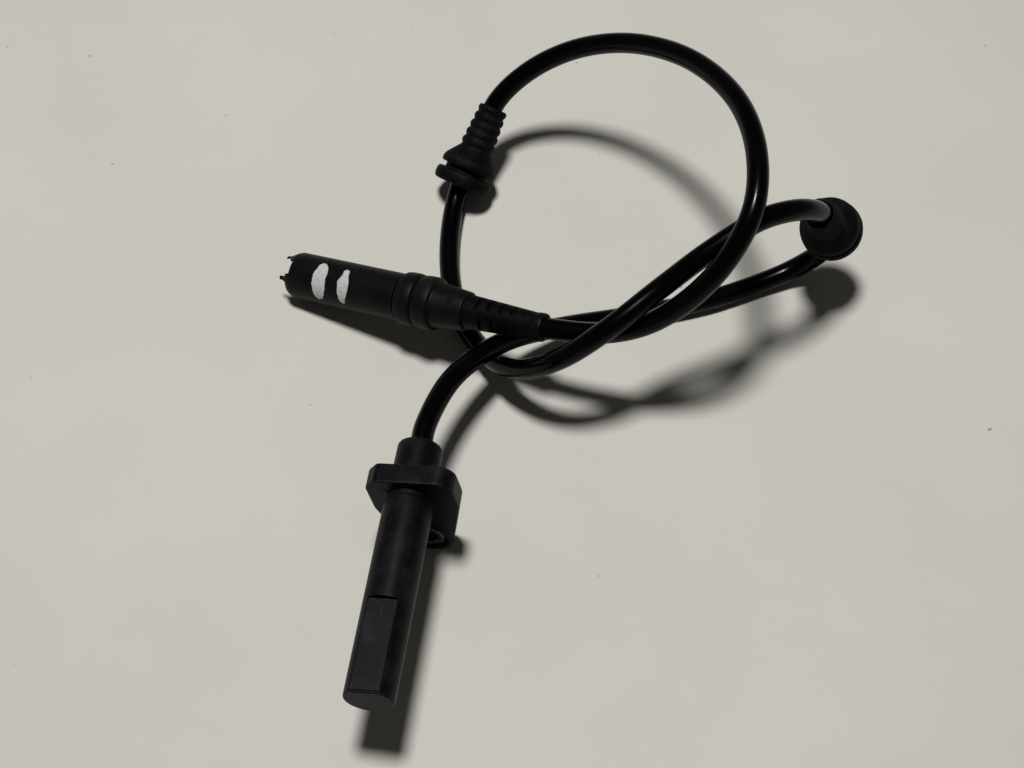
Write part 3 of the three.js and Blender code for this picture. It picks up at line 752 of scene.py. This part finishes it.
def barrel_sections(radius, half_width, floor, flat_height):
    """Sections of the barrel, as (x, z) in step: with the flat, with the slot, and fully round.

    The round part runs under the axis from one wall of the slot to the other at one radius. The rest
    is the circle cut off at the flat; or down the wall, across the floor and up; or the whole circle.
    """
    lip = math.asin(half_width / radius)
    top = radius * math.cos(lip)
    wall = 5
    under = np.linspace(lip, 2 * math.pi - lip, ROUND_SIDES)
    over = np.linspace(-lip, lip, SLOT_SIDES + 2)[1:-1]
    round_part = radius * np.stack([np.sin(under), np.cos(under)], axis=1)
    down = np.stack([np.full(wall, -half_width), np.linspace(top, floor, wall + 1)[1:]], axis=1)
    across = np.linspace(-half_width, half_width, SLOT_SIDES - 2 * wall + 2)[1:-1]
    bottom = np.stack([across, np.full(len(across), floor)], axis=1)
    slot_part = np.vstack([down, bottom, down[::-1] * [-1, 1]])
    circle_part = radius * np.stack([np.sin(over), np.cos(over)], axis=1)
    flat_part = np.minimum(circle_part, [radius, flat_height])
    return [np.vstack([round_part, rest]) for rest in (flat_part, slot_part, circle_part)]


def make_barrel(sizes):
    """Sections carried along Y: a thin wall with a flat, then the slotted part, then the round one.

    Two fine mould ridges stand out of the sides: the radius grows by a narrow bell there.
    """
    slot, neck = sizes.slot_length, sizes.barrel_length
    with_flat, slotted, full = barrel_sections(
        sizes.barrel_diameter / 2, sizes.flat_half_width + SIDE_GAP, SLOT_FLOOR, sizes.flat_height)
    tip_places = [0.0, 0.0001, 0.0003, TIP_WALL]
    tip_scale = [0.955, 0.975, 0.99, 1.0]
    slot_places = np.concatenate([[TIP_WALL + 0.00002], np.linspace(0.002, slot, 12)])
    neck_places = neck + np.array([-0.0020, -0.0016, -0.0013, -0.0011, 0.001])
    neck_scale = [0.985, 0.955, 0.925, 0.905, 0.905]
    round_places = np.concatenate([np.linspace(slot, neck - 0.0024, 14), neck_places])
    round_scale = np.concatenate([np.ones(14), neck_scale])
    points = np.concatenate([carried(with_flat, tip_places, tip_scale),
                             carried(slotted, slot_places),
                             carried(full, round_places, round_scale)])
    angle = np.arctan2(points[..., 0], points[..., 2])
    ridge = np.exp(-((np.abs(angle) - math.pi / 2) / 0.03) ** 2)
    points[..., [0, 2]] *= (1 + 0.009 * ridge)[..., None]
    # The tip's rim and the mould ridges get a strong edge mark: a lighter line there, partly rubbing
    # and partly a painted highlight.
    edge = np.zeros(points.shape[:2])
    edge[:len(tip_places)] = 0.7
    edge[:, [0, ROUND_SIDES - 1]] = 0.4
    barrel = head_piece("sensor_barrel", points, edge=edge + 0.5 * ridge, sharp=35)
    bore = turned([(0.005, slot - 0.0005), (0.005, neck - 0.002)], 64)
    cut_away(barrel, head_piece("channel_tool", bore))
    return barrel


def make_flange(sizes):
    """The plate: an outline in X and Z carried along Y, drawn in towards its middle at both faces.

    One upper corner is cut off, the other is a quarter of a circle, and both sides run into the
    round ear where they touch it.
    """
    distance = sizes.bolt_distance
    front, back = sizes.barrel_length, sizes.barrel_length + sizes.flange_thickness
    ear, corner, rim = 0.0073, 0.005, 0.0006
    cut_side, round_side, top = 0.0111, 0.0123, 0.0085
    quarter = np.linspace(math.pi / 2, 0.0, 9)
    corner_points = np.stack([round_side - corner + corner * np.cos(quarter),
                              top - corner + corner * np.sin(quarter)], axis=1)
    right_meets, left_meets = math.radians(-15.8), math.radians(-166.3)
    turn = np.linspace(right_meets, left_meets, 15)
    ear_points = np.stack([ear * np.cos(turn), -distance + ear * np.sin(turn)], axis=1)
    corners = np.vstack([[(-0.008, top)], corner_points, [(round_side, -0.004)], ear_points,
                         [(-cut_side, -0.006), (-cut_side, 0.0048)]])
    outline, _ = rounded(corners, 0.001, closed=True)
    slope = np.roll(outline, -1, axis=0) - np.roll(outline, 1, axis=0)
    slope /= np.linalg.norm(slope, axis=1)[:, None]
    inward = np.stack([slope[:, 1], -slope[:, 0]], axis=1)
    profile, edge = rounded([(rim, front), (0.0, front), (0.0, back), (rim, back)], rim)
    points = carried(outline + inward * profile[:, 0][:, None, None], profile[:, 1])
    plate = head_piece("flange_plate", points, edge=edge)
    seat = turned([(0.005, front - 0.001), (0.005, back + 0.001)], 72)
    seat[..., 2] -= distance
    way = turned([(CABLE_BORE, front - 0.001), (CABLE_BORE, back + 0.001)], 48)
    cut_away(plate, head_piece("seat_tool", seat), head_piece("cable_way_tool", way))
    return plate


def make_boss(sizes):
    """A turned end with a rounded shoulder, hollow where the cable comes out."""
    start = sizes.barrel_length + sizes.flange_thickness - 0.0005
    end = start + 0.0005 + sizes.boss_length
    radius = sizes.boss_diameter / 2
    profile, edge = rounded(
        [(CABLE_BORE, start), (radius + 0.0001, start), (radius, end), (CABLE_BORE, end)],
        [0.0, 0.0, 0.0013, 0.0], 7)
    return head_piece("cable_boss", turned(profile, 96), close_rows=True, edge=edge * 0.6)


class SENSOR_OT_head(bpy.types.Operator):
    """Make the moulded head: barrel, flange plate and cable boss"""

    bl_idname = "sensor.head"
    bl_label = "Moulded Head"

    def execute(self, context):
        sizes = context.scene.sensor_head
        for piece in (make_barrel(sizes), make_flange(sizes), make_boss(sizes)):
            belongs(even_shading(piece), "housing_plastic", "sensor_housing")
        return {"FINISHED"}


def make_bush(sizes):
    """A rolled steel bush: a turned ring with broken edges and a closed seam along it."""
    front, back = sizes.barrel_length, sizes.barrel_length + sizes.flange_thickness
    inner, outer = 0.0032, 0.0047
    profile, edge = rounded([(inner, front), (outer, front), (outer, back), (inner, back)],
                            0.00045, closed=True)
    points = turned(profile)
    seam = 1 - 0.02 * np.exp(-((around(TURNED_SIDES) - 2.6) / 0.05) ** 2)
    points[..., [0, 2]] *= seam[None, :, None]
    points[..., 2] -= sizes.bolt_distance
    return head_piece("bolt_bush", points, "bush_steel", close_rows=True, edge=edge)


def make_insert(sizes):
    """The moulded insert: rounded rectangles carried along Y, with ways for the chip and leads."""
    half = sizes.flat_half_width + 0.00008
    top, bottom = sizes.flat_height, INSERT_BOTTOM
    outline, _ = rounded([(-half, top), (half, top), (half, bottom), (-half, bottom)],
                         0.00014, 3, closed=True)
    middle = np.array([0.0, (top + bottom) / 2])
    places = np.array([0.0008, 0.00083, 0.00092, 0.0011, 0.006, 0.012, 0.018, 0.0242, 0.0248,
                       0.02505, 0.02517])
    inset = np.array([0.00018, 0.00009, 0.00002, 0.0, 0.0, 0.0, 0.0, 0.0, 0.00004, 0.00014, 0.0003])
    scale = 1 - inset[:, None] / np.array([half, (top - bottom) / 2])
    points = carried(middle + (outline - middle) * scale[:, None], places)
    # Both rounded ends of the insert get a strong edge mark: a light line there, partly rubbing and
    # partly a painted highlight.
    insert = head_piece("sensing_insert", points, "carrier_plastic", edge=np.where(inset > 0, 0.9, 0.0))
    cut_away(insert, make_bar("trough_tool", 0.00315, 0.002, 0.014, 0.0003, 0.0044),
             make_bar("lead_way_tool", 0.00315, 0.0135, 0.026, 0.0022, 0.0033))
    return insert


def make_bar(name, half, start, end, low, high):
    """A bar with slightly rounded corners, carried along Y."""
    outline, _ = rounded([(-half, high), (half, high), (half, low), (-half, low)], 0.00015, 2,
                         closed=True)
    return head_piece(name, carried(outline, [start, end]), "carrier_plastic")


class SENSOR_OT_head_fittings(bpy.types.Operator):
    """Make the steel bush in the ear and the insert behind the flat"""

    bl_idname = "sensor.head_fittings"
    bl_label = "Bush and Insert"

    def execute(self, context):
        sizes = context.scene.sensor_head
        belongs(even_shading(make_bush(sizes)), "bush_steel", "flange_bush")
        belongs(even_shading(make_insert(sizes)), "carrier_plastic", "chip_carrier")
        tongue = make_bar("insert_tongue", 0.003, 0.0246, 0.04, INSERT_BOTTOM, 0.0022)
        belongs(even_shading(tongue), "carrier_plastic", "chip_carrier")
        return {"FINISHED"}


def make_grommet(name, place, sizes):
    """A turned profile: flange, groove, lip, cone and tapering ribs, all with rolled edges.

    A mould seam runs down both sides: the radius grows by a narrow bell at two angles.
    """
    bore, outer_from, rib_depth, first_crest, last_crest = 0.0035, 0.0038, 0.0005, 0.0052, 0.0044
    groove, lip, lip_end, cone_end, cone_radius = 0.004, 0.0055, 0.0077, 0.0122, 0.0048
    corners = [(bore, 0.0), (sizes.flange_radius, 0.0), (sizes.flange_radius, groove),
               (sizes.groove_radius, groove), (sizes.groove_radius, lip),
               (sizes.lip_radius, lip), (sizes.lip_radius, lip_end), (cone_radius, cone_end)]
    rolled = [0.0003, 0.0016, 0.0016, 0.0004, 0.0004, 0.0009, 0.0012, 0.0006]
    pitch = (sizes.length - cone_end) / sizes.ribs
    for rib in range(sizes.ribs):
        start = cone_end + rib * pitch
        crest = first_crest + (last_crest - first_crest) * rib / (sizes.ribs - 1)
        corners += [(crest - rib_depth, start + 0.14 * pitch), (crest, start + 0.42 * pitch),
                    (crest, start + 0.85 * pitch)]
        rolled += [0.0004, 0.0005, 0.0005]
    corners += [(last_crest - rib_depth, sizes.length), (bore, sizes.length)]
    rolled += [0.0002, 0.0002]
    profile, edge = rounded(corners, rolled, closed=True)
    radius, along = profile.T
    points = turned(profile, 112)
    seam = np.exp(-((np.cos(around(112)) / 0.06) ** 2))
    outside = radius > outer_from
    points[..., [0, 2]] *= (1 + 0.008 * outside[:, None] * seam[None])[..., None]
    flange = (along < groove + 0.0001) & (radius > sizes.flange_radius - 0.002)
    return make_piece(name, points, "grommet_rubber", heading_place(place["flange"], place["heading"]),
                      close_rows=True, edge=edge * np.where(flange, 0.7, 0.45))


class SENSOR_OT_grommets(bpy.types.Operator):
    """Make the two wall grommets on the cable"""

    bl_idname = "sensor.grommets"
    bl_label = "Wall Grommets"

    def execute(self, context):
        sizes = context.scene.sensor_grommet
        for name, node, place in (("wall_grommet_low", "grommet_low", LOW_GROMMET),
                                  ("wall_grommet_raised", "grommet_raised", RAISED_GROMMET)):
            belongs(make_grommet(name, place, sizes), "grommet_rubber", node)
        return {"FINISHED"}


def make_boot(sizes):
    """A taper with slots: the radius is the taper's, or in a slot the slot floor's if that is less.

    The floor is flat, so its radius at an angle d off the slot's middle is its height / cos d.
    """
    length = sizes.boot_length
    slot_width, pitch, first, floor_height = 0.0013, 0.0036, 0.0047, 0.0037
    starts = first + pitch * np.arange(5)
    top_slots = np.stack([starts, starts + slot_width], axis=1)
    side_slots = top_slots[:-1] + pitch / 2 + 0.0002
    slot_edges = np.concatenate([top_slots, side_slots]).reshape(-1)
    shoulder = np.array([0.0, 0.0001, 0.0004, 0.0008, 0.0018, 0.0022, 0.0025, 0.0028])
    places = np.concatenate([shoulder, slot_edges - 0.00006, slot_edges + 0.00006,
                             np.linspace(0.004, length - 0.00005, 50)])
    places = np.unique(np.round(places, 6))
    taper = np.interp(places, [0.0, 0.0001, 0.0004, 0.0008, 0.0018, 0.0022, 0.0028, length],
                      [0.0035, 0.0038, 0.00395, 0.004, 0.004, 0.00393, 0.0038, 0.00485])
    outside = turned(np.stack([taper, places], axis=1))
    for slots, direction in ((top_slots, 0.0), (side_slots, math.pi / 2)):
        inside = ((places[:, None] > slots[:, 0]) & (places[:, None] < slots[:, 1])).any(axis=1)
        facing = np.abs(np.cos(around(TURNED_SIDES) - direction))[None]
        floor = floor_height / np.maximum(facing, 1e-6)
        kept = np.where(inside[:, None] & (facing > 0.55), np.minimum(1.0, floor / taper[:, None]), 1.0)
        outside[..., [0, 2]] *= kept[..., None]
    spigot, spigot_end = 0.0042, length + 0.006
    back = turned([(spigot, length - 0.00005), (spigot, spigot_end), (CABLE_BORE, spigot_end),
                   (CABLE_BORE, 0.0)])
    edge = np.concatenate([np.where(places < 0.003, 0.5, 0.1), np.zeros(4)])
    return make_piece("relief_boot", np.concatenate([outside, back]), "boot_rubber", plug_place(),
                      close_rows=True, edge=edge, sharp=32)


def make_body(sizes):
    """A turned body: shoulder, two round rings with a valley between them, and the spigot inside."""
    start = sizes.boot_length
    ring = sizes.ring_radius
    valley, spigot, spigot_end = 0.0065, 0.00515, start + 0.0302
    corners = [(0.0045, start), (0.0055, start), (0.0058, start + 0.003), (0.0063, start + 0.0085),
               (0.0064, start + 0.0098)]
    rolled = [0.0002, 0.0005, 0.001, 0.001, 0.0002]
    for first in (start + 0.0101, start + 0.0158):
        corners += [(ring - 0.0002, first), (ring, first + 0.0013), (ring, first + 0.0034),
                    (ring - 0.0002, first + 0.0049), (valley, first + 0.0052)]
        rolled += [0.0005, 0.0007, 0.0007, 0.0005, 0.0002]
    corners += [(spigot, start + 0.0212), (spigot, spigot_end), (0.0002, spigot_end)]
    rolled += [0.0002, 0.0002, 0.0]
    outer, edge = rounded(corners, rolled)
    inner = [(0.0002, start + 0.0143), (0.0039, start + 0.0143), (0.0039, start + 0.0063),
             (0.0045, start + 0.0063)]
    edge = np.concatenate([edge * 0.4, np.zeros(len(inner))])
    body = make_piece("plug_shell", turned(np.vstack([outer, inner])), "plug_plastic", plug_place(),
                      close_rows=True, edge=edge)
    cavity = turned([(0.00175, start + 0.0138), (0.00175, start + 0.0312)], 40)
    tools = []
    for side in (-1, 1):
        way = cavity + [side * 0.002, 0.0, 0.0]
        tools.append(make_piece(f"cavity_tool_{side}", way, "plug_plastic", plug_place()))
    cut_away(body, *tools)
    return body


def make_gate(sizes):
    """The small round mark of the mould's gate, on the shoulder."""
    profile, _ = rounded([(0.0011, -0.0004), (0.0011, 0.0002), (0.0001, 0.0002)], 0.0003)
    place = (plug_place() @ Matrix.Translation((0, sizes.boot_length + 0.0036, 0))
             @ Matrix.Rotation(math.radians(-24), 4, "Y")
             @ Matrix.Translation((0, 0, 0.0058)) @ Matrix.Rotation(math.radians(90), 4, "X"))
    return make_piece("gate_mark", turned(profile, 32), "plug_plastic", place)


def make_sleeve(sizes):
    """An open tube whose rim is a function of the angle: nibs stand out of it and keyways go in.

    Round the tube the rim lies at nose + nib - keyway - notch; the rows between the back and the
    rim keep their place and only stop short of the rim.
    """
    sides, along = 288, 16
    angle = around(sides)
    back, nose = 0.0455, sizes.nose
    outer, inner = sizes.sleeve_radius, sizes.sleeve_radius - sizes.sleeve_wall

    def near(width, radius, *middles):
        off = [np.abs((angle - middle + math.pi) % (2 * math.pi) - math.pi) for middle in middles]
        return np.clip((width / 2 + 0.00012 - np.min(off, axis=0) * radius) / 0.00024, 0.0, 1.0)

    nib = near(0.0014, 0.006, 0.16, 5.16)
    keyway = near(0.0016, outer, 1.4, 2.6, 3.9)
    notch = near(0.0048, outer, 5.8)
    rim = nose + 0.002 * nib - 0.003 * keyway - 0.0011 * notch
    steps = np.linspace(0.0, 1.0, along)
    rows = []
    for radius, places in ((inner, steps[::-1]), (outer, steps)):
        for step in places:
            rows.append((radius, np.minimum(back + step * (nose - 0.0018 - back), rim - 0.0004)))
    slim = outer - 0.0009 * nib
    rows += [(outer - 0.0003, np.minimum(nose - 0.0009, rim - 0.0003)), (slim - 0.0006, rim - 0.0002),
             (slim - 0.0008, rim), (inner + 0.0001, rim), (inner, rim - 0.0002)]
    points = np.stack([np.stack([r * np.sin(angle), y, r * np.cos(angle)], axis=1) for r, y in rows])
    u = np.arange(sides + 1) * (2 * math.pi * outer / sides)
    v = np.stack([y for _, y in rows + rows[:1]]) - back
    edge = np.zeros(len(rows))
    edge[along] = 0.3
    edge[2 * along:2 * along + 4] = 0.6
    return make_piece("sleeve_shell", points, "painted_plug_plastic", plug_place(), close_rows=True,
                      edge=edge, uv=corner_uv(u, np.hstack([v, v[:, :1]])))


class SENSOR_OT_plug(bpy.types.Operator):
    """Make the plug: strain relief boot, body with its grip rings, and sleeve"""

    bl_idname = "sensor.plug"
    bl_label = "Plug"

    def execute(self, context):
        sizes = context.scene.sensor_plug
        belongs(make_boot(sizes), "boot_rubber", "strain_relief_boot")
        belongs(even_shading(make_body(sizes)), "plug_plastic", "plug_body")
        belongs(make_gate(sizes), "plug_plastic")
        belongs(even_shading(make_sleeve(sizes)), "plug_plastic", "plug_sleeve")
        return {"FINISHED"}


def declare_cable():
    """Gathers the pieces that the cable carries into a list, and does nothing more with them."""
    carried_pieces = [bpy.data.objects[name] for name in (
        "wall_grommet_low", "wall_grommet_raised", "relief_boot", "plug_shell", "gate_mark",
        "sleeve_shell")]
    carried_pieces += [frame["nodes"][name] for name in (
        "plug_insert", "plug_face_seal", "plug_contact_signal", "plug_contact_supply",
        "wire_seal_signal", "wire_seal_supply", "plug_core_signal", "plug_core_supply")]


class SENSOR_OT_inner_parts(bpy.types.Operator):
    """Give the parts inside the head and the plug their finishes"""

    bl_idname = "sensor.inner_parts"
    bl_label = "Inner Parts"

    def execute(self, context):
        slots = {entry["node"]: entry["material_slot"] for entry in frame["record"]["subparts"]}
        for name, node in frame["nodes"].items():
            if not node.material_slots:
                node.data.materials.append(finishes[slots[name]])
            for slot in node.material_slots:
                slot.material = finishes[slots[name]]
        declare_cable()
        return {"FINISHED"}


class SENSOR_PT_panel(bpy.types.Panel):
    """Lists the steps that make the sensor, and its sizes and colours"""

    bl_label = "Wheel Speed Sensor"
    bl_idname = "SENSOR_PT_panel"
    bl_space_type = "VIEW_3D"
    bl_region_type = "UI"
    bl_category = "Sensor"

    def draw(self, context):
        layout = self.layout
        for operator in OPERATORS:
            layout.operator(operator.bl_idname)
        for group in GROUPS:
            values = getattr(context.scene, group)
            box = layout.box()
            for name in values.__annotations__:
                box.prop(values, name)


GROUPS = {
    "sensor_head": HeadSizes, "sensor_cable": CableSizes, "sensor_grommet": GrommetSizes,
    "sensor_plug": PlugSizes, "sensor_finishes": SensorFinishes, "sensor_stage": SensorStage,
}
OPERATORS = (
    SENSOR_OT_stage, SENSOR_OT_cable, SENSOR_OT_head, SENSOR_OT_head_fittings, SENSOR_OT_grommets,
    SENSOR_OT_plug, SENSOR_OT_inner_parts,
)
CLASSES = (*GROUPS.values(), *OPERATORS, SENSOR_PT_panel)


def register():
    for made in CLASSES:
        bpy.utils.register_class(made)
    for name, group in GROUPS.items():
        setattr(bpy.types.Scene, name, bpy.props.PointerProperty(type=group))


def unregister():
    for name in GROUPS:
        delattr(bpy.types.Scene, name)
    for made in reversed(CLASSES):
        bpy.utils.unregister_class(made)


def main():
    register()
    bpy.ops.sensor.stage()
    bpy.ops.sensor.cable()
    bpy.ops.sensor.head()
    bpy.ops.sensor.head_fittings()
    bpy.ops.sensor.grommets()
    bpy.ops.sensor.plug()
    bpy.ops.sensor.inner_parts()


if __name__ == "__main__":
    main()
